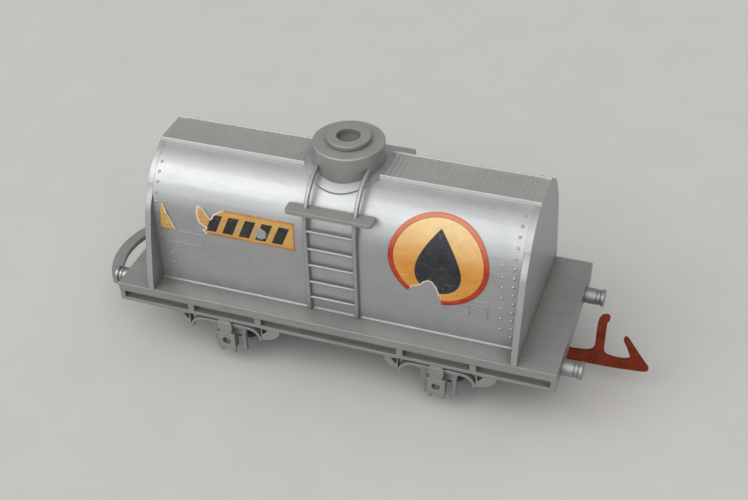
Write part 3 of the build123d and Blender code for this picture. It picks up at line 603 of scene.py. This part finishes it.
def steps(start, end, step):
    """Even values from start to end, about a step apart."""
    count = max(2, int(round((end - start) / step)))
    return [start + (end - start) * i / count for i in range(count + 1)]


def rows_mesh(heights, interval, columns):
    """Flat mesh of rows; interval(up) gives a row's two ends, or None for no row."""
    vertices, faces, rows = [], [], []
    for up in heights:
        ends = interval(up)
        if ends is None or ends[1] - ends[0] < 0.02:
            rows.append(None)
            continue
        first = len(vertices)
        rows.append(range(first, first + columns + 1))
        vertices += [(ends[0] + (ends[1] - ends[0]) * column / columns, up)
                     for column in range(columns + 1)]
    for low, high in zip(rows, rows[1:]):
        if low is not None and high is not None:
            faces += [[low[i], low[i + 1], high[i + 1], high[i]] for i in range(columns)]
    return vertices, faces


def ragged(path, seed, amount, step=0.22):
    """Coarse path cut into short steps whose x is shaken by up to amount."""
    points = []
    rng = random.Random(seed)
    for start, end in zip(path, path[1:]):
        count = max(1, int(math.hypot(end[0] - start[0], end[1] - start[1]) / step))
        for i in range(count):
            part = i / count
            points.append((start[0] + (end[0] - start[0]) * part + rng.uniform(-amount, amount),
                           start[1] + (end[1] - start[1]) * part))
    points.append(path[-1])
    return points


def x_at(path, up):
    """x of a path at a height, or of one of its ends when the path doesn't reach it."""
    for start, end in zip(path, path[1:]):
        if (start[1] - up) * (end[1] - up) <= 0 and start[1] != end[1]:
            return start[0] + (end[0] - start[0]) * (up - start[1]) / (end[1] - start[1])
    return path[0][0] if up < path[0][1] else path[-1][0]


def distance_to(*paths):
    """Function giving the distance from (x, up) to the nearest of the paths."""
    segments = [segment for path in paths for segment in zip(path, path[1:])]

    def to_segment(x, up, start, end):
        run, climb = end[0] - start[0], end[1] - start[1]
        part = ((x - start[0]) * run + (up - start[1]) * climb) / (run * run + climb * climb)
        part = max(0.0, min(1.0, part))
        return math.hypot(x - start[0] - part * run, up - start[1] - part * climb)

    return lambda x, up: min(to_segment(x, up, *segment) for segment in segments)


def sheet_heights(curl):
    """(top, bottom) of the paper and of the ink; paper lifts by up to curl at a tear."""
    def paper_top(x, up, tear):
        wave = 0.6 + 0.4 * math.sin(x * 2.1 + up * 1.3)
        return PAPER_TOP + curl * math.exp(-max(tear, 0.0) / 0.45) * wave

    def paper_bottom(x, up, tear):
        return SHEET_GAP + 0.6 * max(0.0, paper_top(x, up, tear) - PAPER_TOP)

    def ink_top(x, up, tear):
        return paper_top(x, up, tear) + (INK_TOP - PAPER_TOP)

    def ink_bottom(x, up, tear):
        return paper_top(x, up, tear) - SHEET_GAP

    return (paper_top, paper_bottom), (ink_top, ink_bottom)


# ------------------------------------------------------------------ rectangular labels
LABEL_LOW, LABEL_HIGH = 13.4, 19.45
LABEL_START, LABEL_END = -27.3, -7.4    # x
SPLIT = 17.1                            # above it a wedge is torn out of the top edge
STRIP_HIGH = 19.48                      # top of the strip that is left beside the wedge
BORDER_GAP = 0.01                       # from the paper's edge to the border
BORDER_LOW, BORDER_HIGH = 0.46, 0.30    # border's inner edge from the paper's low, high edge
BORDER_SIDE = 0.24                      # the same at the upright edges
BAR_COUNT, BAR_WIDTH, BAR_PITCH = 5, 2.15, 3.45
BAR_MARGIN = 0.9                        # from the label's end to the first bar
BAR_SLOPE = 0.42                        # x per height
BAR_LOW, BAR_HIGH = LABEL_LOW + 0.85, LABEL_HIGH - 1.25
BAR_TEAR_GAP = 0.10                     # least distance from the paper's start

# torn edges of the near label, points (x, up)
TEAR_LOW = ragged([(-25.9, LABEL_LOW), (-26.7, 14.2), (-25.75, 14.75), (-27.2, 15.8),
                   (-27.55, SPLIT)], seed=5, amount=0.09)
STRIP_LEFT = ragged([(-27.55, SPLIT), (-27.7, 18.0), (-27.45, 19.5)], seed=6, amount=0.05)
STRIP_RIGHT = ragged([(-24.6, SPLIT), (-25.5, 18.2), (-26.2, 19.1), (-27.25, 19.5)],
                     seed=7, amount=0.07)
TEAR_HIGH = ragged([(-24.6, SPLIT), (-24.1, 18.15), (-23.05, 18.9), (-22.1, LABEL_HIGH)],
                   seed=8, amount=0.08)


def make_label(side, torn, paper_key, bar_key, border_key):
    """Label of slanted bars in a thin border; returns its main sheet of paper."""
    tear = distance_to(TEAR_LOW, STRIP_LEFT, STRIP_RIGHT, TEAR_HIGH) if torn else None
    paper_heights, ink_heights = sheet_heights(0.16 if torn else 0.0)

    def start(up):
        if not torn:
            return LABEL_START
        return x_at(TEAR_LOW if up <= SPLIT else TEAR_HIGH, up)

    def add_part(part, rows, interval, columns, heights, key):
        return add_sheet(f"label_{side}_{part}", side, rows_mesh(rows, interval, columns),
                         heights, key, tear)

    # (part, rows, interval, columns)
    if torn:
        papers = [
            ("paper", steps(LABEL_LOW, SPLIT, 0.16),
             lambda up: (x_at(TEAR_LOW, up), LABEL_END), 90),
            ("paper_high", steps(SPLIT, LABEL_HIGH, 0.16),
             lambda up: (x_at(TEAR_HIGH, up), LABEL_END), 80),
            ("paper_strip", steps(SPLIT, STRIP_HIGH, 0.14),
             lambda up: (x_at(STRIP_LEFT, up), x_at(STRIP_RIGHT, up)), 12),
        ]
    else:
        papers = [("paper", steps(LABEL_LOW, LABEL_HIGH, 0.16),
                   lambda up: (LABEL_START, LABEL_END), 90)]
    sheets = [add_part(*part, paper_heights, paper_key) for part in papers]

    def full_width(up):
        return start(up) + 0.02, LABEL_END - BORDER_GAP

    upright = steps(LABEL_LOW + BORDER_LOW, LABEL_HIGH - BORDER_HIGH, 0.2)
    borders = [
        ("border_low", steps(LABEL_LOW + BORDER_GAP, LABEL_LOW + BORDER_LOW, 0.11),
         full_width, 80),
        ("border_high", steps(LABEL_HIGH - BORDER_HIGH, LABEL_HIGH - BORDER_GAP, 0.10),
         full_width, 80),
        ("border_end", upright,
         lambda up: (LABEL_END - BORDER_SIDE, LABEL_END - BORDER_GAP), 1),
    ]
    if not torn:
        borders.append(("border_start", upright,
                        lambda up: (LABEL_START + BORDER_GAP, LABEL_START + BORDER_SIDE), 1))
    for part in borders:
        add_part(*part, ink_heights, border_key)

    for i in range(BAR_COUNT):
        bar_end = LABEL_END - BAR_MARGIN - i * BAR_PITCH     # x at the bar's top

        def bar(up):
            end = bar_end + (up - BAR_HIGH) * BAR_SLOPE
            return max(end - BAR_WIDTH, start(up) + BAR_TEAR_GAP), end

        add_part(f"bar_{i}", steps(BAR_LOW, BAR_HIGH, 0.16), bar, 8, ink_heights, bar_key)
    return sheets[0]


# torn scrap on the -X side of the near label, draped over two rivet heads; points (x, up)
SCRAP_LEFT = [(-35.85, 12.8), (-35.6, 15.5), (-35.3, 18.05), (-35.0, 18.56)]
SCRAP_RIGHT = ragged([(-32.55, 13.05), (-33.3, 14.9), (-33.86, 16.3), (-34.4, 17.6),
                      (-34.8, 18.56)], seed=12, amount=0.08)
SCRAP_RIVETS = [(-34.2, 14.17), (-34.2, 16.62)]
SCRAP_THICKNESS = 0.08


def make_scrap():
    def interval(up):
        left = x_at(SCRAP_LEFT, up)
        # below 13.08 the torn edge is carried straight down
        return left, max(x_at(SCRAP_RIGHT, max(up, 13.08)), left + 0.05)

    def top(x, up, tear):
        # 0.24 high over a rivet, and 0.10 of curl at the tear
        swell = sum(0.24 * math.exp(-((x - rivet_x) ** 2 + (up - rivet_up) ** 2) / 0.18)
                    for rivet_x, rivet_up in SCRAP_RIVETS)
        return PAPER_TOP + swell + 0.10 * math.exp(-tear / 0.4)

    def bottom(x, up, tear):
        return top(x, up, tear) - SCRAP_THICKNESS

    return add_sheet("label_near_scrap", "near",
                     rows_mesh(steps(12.85, 18.5, 0.14), interval, 20),
                     (top, bottom), "paper_label", distance_to(SCRAP_RIGHT))


near_label = make_label("near", True, "paper_label", "ink_label", "ink_border")
near_scrap = make_scrap()
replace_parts(near_label, "label_near")
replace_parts(near_scrap, "label_near")
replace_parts(make_label("far", False, "paper_far", "ink_far", "ink_border_far"), "label_far")

# ------------------------------------------------------------------ round emblems
EMBLEM_X, EMBLEM_UP = 20.87, 17.0
EMBLEM_RADIUS, RIM_INNER = 9.65, 8.6
HUB_RADIUS = 0.4                 # closed by a fan of triangles
SPOKES = 480
PAPER_RINGS = 26
DROP_HALF_HEIGHT, DROP_SHIFT = 6.9, -0.15
DROP_WIDTH, DROP_POWER = 5.9, 1.1       # scale of the half width, and how thin the top is
NOTCH_GAP = 0.08                 # from the notch to the ink
DROP_STEP = 0.13

# notch torn up into the near emblem from below, points (x, up)
NOTCH_APEX = 12.55
NOTCH_LEFT = ragged([(14.9, 5.0), (15.5, 9.4), (15.9, 10.4), (17.3, 11.0), (18.4, 12.1),
                     (19.3, NOTCH_APEX)], seed=3, amount=0.08, step=0.25)
NOTCH_RIGHT = ragged([(19.3, NOTCH_APEX), (20.0, 12.1), (20.6, 10.85), (21.35, 9.15),
                      (21.1, 8.3), (21.2, 5.0)], seed=4, amount=0.08, step=0.25)
NOTCH = NOTCH_LEFT + NOTCH_RIGHT[1:]


def torn_radius(angle):
    """Radius of the torn paper: where a ray from the centre meets the notch or the rim."""
    radius = EMBLEM_RADIUS
    ray_x, ray_up = math.cos(angle), math.sin(angle)
    for start, end in zip(NOTCH, NOTCH[1:]):
        run, climb = end[0] - start[0], end[1] - start[1]
        cross = ray_x * climb - ray_up * run
        if abs(cross) < 1e-9:
            continue
        from_x, from_up = start[0] - EMBLEM_X, start[1] - EMBLEM_UP
        along_ray = (from_x * climb - from_up * run) / cross
        along_edge = (from_x * ray_up - from_up * ray_x) / cross
        if along_ray > 0 and 0 <= along_edge <= 1:
            radius = min(radius, along_ray)
    return radius


def ring_mesh(inner, outer, rings):
    """Flat ring from a radius to outer(angle); spokes without width are left out."""
    vertices, faces, spokes = [], [], []
    for i in range(SPOKES):
        angle = 2 * math.pi * i / SPOKES
        width = outer(angle) - inner
        if width < 0.03:
            spokes.append(None)
            continue
        spokes.append(len(vertices))
        for ring in range(rings + 1):
            radius = inner + width * ring / rings
            vertices.append((EMBLEM_X + radius * math.cos(angle),
                             EMBLEM_UP + radius * math.sin(angle)))
    for a, b in zip(spokes, spokes[1:] + spokes[:1]):
        if a is not None and b is not None:
            faces += [[a + k, a + k + 1, b + k + 1, b + k] for k in range(rings)]
    return vertices, faces


def disc_mesh(outer):
    vertices, faces = ring_mesh(HUB_RADIUS, outer, PAPER_RINGS)
    centre, spoke = len(vertices), PAPER_RINGS + 1
    vertices.append((EMBLEM_X, EMBLEM_UP))
    faces += [[centre, i * spoke, (i + 1) % SPOKES * spoke] for i in range(SPOKES)]
    return vertices, faces


def drop_point(turn):
    """(height from the drop's middle, half width), from the top at 0 to the foot at pi."""
    half_width = DROP_WIDTH * math.sin(turn) * math.sin(turn / 2) ** DROP_POWER
    return DROP_HALF_HEIGHT * math.cos(turn), half_width


DROP_OUTLINE = [drop_point(math.pi * i / 400) for i in range(401)]


def drop_ends(up):
    """The drop's two ends in x at a height, or None where it is too thin."""
    height = up - EMBLEM_UP - DROP_SHIFT
    for (high, high_width), (low, low_width) in zip(DROP_OUTLINE, DROP_OUTLINE[1:]):
        if low <= height <= high:
            width = high_width + (low_width - high_width) * ((height - high) / (low - high))
            return (EMBLEM_X - width, EMBLEM_X + width) if width > 0.03 else None
    return None


def drop_right_of_notch(up):
    ends = drop_ends(up)
    return ends and (max(ends[0], x_at(NOTCH_RIGHT, up) + NOTCH_GAP), ends[1])


def drop_left_of_notch(up):
    ends = drop_ends(up)
    return ends and (ends[0], min(ends[1], x_at(NOTCH_LEFT, up) - NOTCH_GAP))


def make_emblem(side, torn, paper_key, drop_key, rim_key):
    """Yellow disc with a red rim and a plain dark drop; returns the paper."""
    tear = distance_to(NOTCH) if torn else None
    paper_heights, ink_heights = sheet_heights(0.13 if torn else 0.0)
    outer = torn_radius if torn else (lambda angle: EMBLEM_RADIUS)
    disc = add_sheet(f"emblem_{side}_paper", side, disc_mesh(outer), paper_heights,
                     paper_key, tear)
    # the ink stops 0.015 short of the paper's round edge
    rim = ring_mesh(RIM_INNER, lambda angle: min(outer(angle), EMBLEM_RADIUS - 0.015), 4)
    add_sheet(f"emblem_{side}_rim", side, rim, ink_heights, rim_key, tear)

    low = EMBLEM_UP + DROP_SHIFT - DROP_HALF_HEIGHT + 0.01
    high = EMBLEM_UP + DROP_SHIFT + DROP_HALF_HEIGHT - 0.01
    # (part, lowest row, highest row, interval)
    if torn:
        parts = [("drop", NOTCH_APEX, high, drop_ends),
                 ("drop_low", low, NOTCH_APEX, drop_right_of_notch),
                 ("drop_left", low + 0.8, NOTCH_APEX, drop_left_of_notch)]
    else:
        parts = [("drop", low, high, drop_ends)]
    for part, start, end, interval in parts:
        flat = rows_mesh(steps(start, end, DROP_STEP), interval, 40)
        add_sheet(f"emblem_{side}_{part}", side, flat, ink_heights, drop_key, tear)
    return disc


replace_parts(make_emblem("near", True, "paper_emblem", "ink_emblem", "ink_red"), "emblem_near")
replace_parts(make_emblem("far", False, "paper_far", "ink_far", "ink_red_far"), "emblem_far")


# ------------------------------------------------------------------ floor
def floor_material():
    """Pale matt floor, clear from underneath so that the wagon's underside can be seen."""
    tree = ShaderTree("floor_pale")
    cloud = tree.noise(tree.mm, scale=0.06, detail=4.0, roughness=0.6)
    grain = tree.noise(tree.mm, scale=1.4, detail=3.0, roughness=0.6)
    colour = tree.tint((0.47, 0.46, 0.445), cloud, to=(0.52, 0.51, 0.495))
    material = tree.finish(colour, tree.add(0.78, tree.multiply(grain, 0.1)), 0.0,
                           tree.bump(grain, strength=0.15, distance=0.05))
    tree.show(tree.node("MixShader", {
        0: tree.node("NewGeometry").outputs["Backfacing"],
        1: tree.principled.outputs[0],
        2: tree.node("BsdfTransparent").outputs[0],
    }))
    return material


def make_floor():
    grid = bmesh.new()
    bmesh.ops.create_grid(grid, x_segments=8, y_segments=8, size=2.5)    # metres
    mesh = bpy.data.meshes.new("floor")
    grid.to_mesh(mesh)
    grid.free()
    mesh.materials.append(floor_material())
    floor = bpy.data.objects.new("floor", mesh)
    bpy.context.scene.collection.objects.link(floor)


make_floor()

# ------------------------------------------------------------------ light
LIGHT_TARGET = Vector((0, 0, 0.02))     # metres, as the lights' places and sizes are
# name, place, (size, size_y), watts, colour
LIGHTS = [
    ("key", (-0.62, -0.62, 0.86), (0.80, 0.60), 3.4, (1.0, 0.99, 0.97)),
    ("fill", (0.50, -0.60, 0.80), (0.75, 0.60), 2.2, (1.0, 1.0, 0.99)),
    ("back_rim", (0.35, 0.75, 0.45), (0.50, 0.50), 0.7, (1.0, 0.98, 0.95)),
]
for name, place, size, power, colour in LIGHTS:
    light = bpy.data.lights.new(name, "AREA")
    light.shape = "RECTANGLE"
    light.size, light.size_y = size
    light.energy = power
    light.color = colour
    lamp = bpy.data.objects.new(name, light)
    lamp.location = place
    lamp.rotation_mode = "QUATERNION"
    lamp.rotation_quaternion = (LIGHT_TARGET - Vector(place)).to_track_quat("-Z", "Y")
    bpy.context.scene.collection.objects.link(lamp)

SKY_BRIGHTEST = Vector((-0.27, -0.70, 0.66))    # direction of the brightest sky
SKY_STRENGTH = 1.55


def make_world():
    """Grey sky that brightens towards one direction."""
    world = bpy.data.worlds.new("studio")
    bpy.context.scene.world = world
    world.use_nodes = True
    tree = world.node_tree
    tree.nodes.clear()
    direction = add_node(tree, "TexCoord").outputs["Generated"]
    facing = add_node(tree, "VectorMath", {0: direction, 1: SKY_BRIGHTEST.normalized()},
                      operation="DOT_PRODUCT")
    part = add_node(tree, "MapRange", {"Value": facing.outputs["Value"],
                                       "From Min": -1.0, "From Max": 1.0})
    ramp = add_node(tree, "ValToRGB", {0: part.outputs[0]})
    ramp.color_ramp.interpolation = "EASE"
    dark, bright = ramp.color_ramp.elements
    dark.position, dark.color = 0.45, (0.20, 0.20, 0.20, 1)
    bright.position, bright.color = 0.97, (1.0, 1.0, 1.0, 1)
    ramp.color_ramp.elements.new(0.74).color = (0.40, 0.40, 0.40, 1)
    background = add_node(tree, "Background", {0: ramp.outputs[0], 1: SKY_STRENGTH})
    add_node(tree, "OutputWorld", {0: background.outputs[0]})


make_world()

# ------------------------------------------------------------------ camera
CAMERA_PLACE = Vector((69.014, -179.389, 154.167 + DECK_Z))
# the camera's own X, Y and Z axes; it looks along its -Z
CAMERA_RIGHT = (0.9454873549749236, 0.32491318350868176, -0.022024639946594163)
CAMERA_UP = (-0.18228162321530678, 0.584051784941416, 0.7909847800967723)
CAMERA_BACK = (0.2698649132816572, -0.7438514204389207, 0.6114392798066575)

camera_data = bpy.data.cameras.new("camera")
camera_data.sensor_width = 36.0
camera_data.lens = 58.344064
camera_data.clip_start, camera_data.clip_end = 0.005, 20.0    # metres
camera = bpy.data.objects.new("camera", camera_data)
turn = Matrix((CAMERA_RIGHT, CAMERA_UP, CAMERA_BACK)).transposed()
camera.matrix_world = Matrix.Translation(CAMERA_PLACE * MM) @ turn.to_4x4()
bpy.context.scene.collection.objects.link(camera)
bpy.context.scene.camera = camera
bpy.context.scene.view_settings.view_transform = "Standard"

bpy.context.view_layer.update()
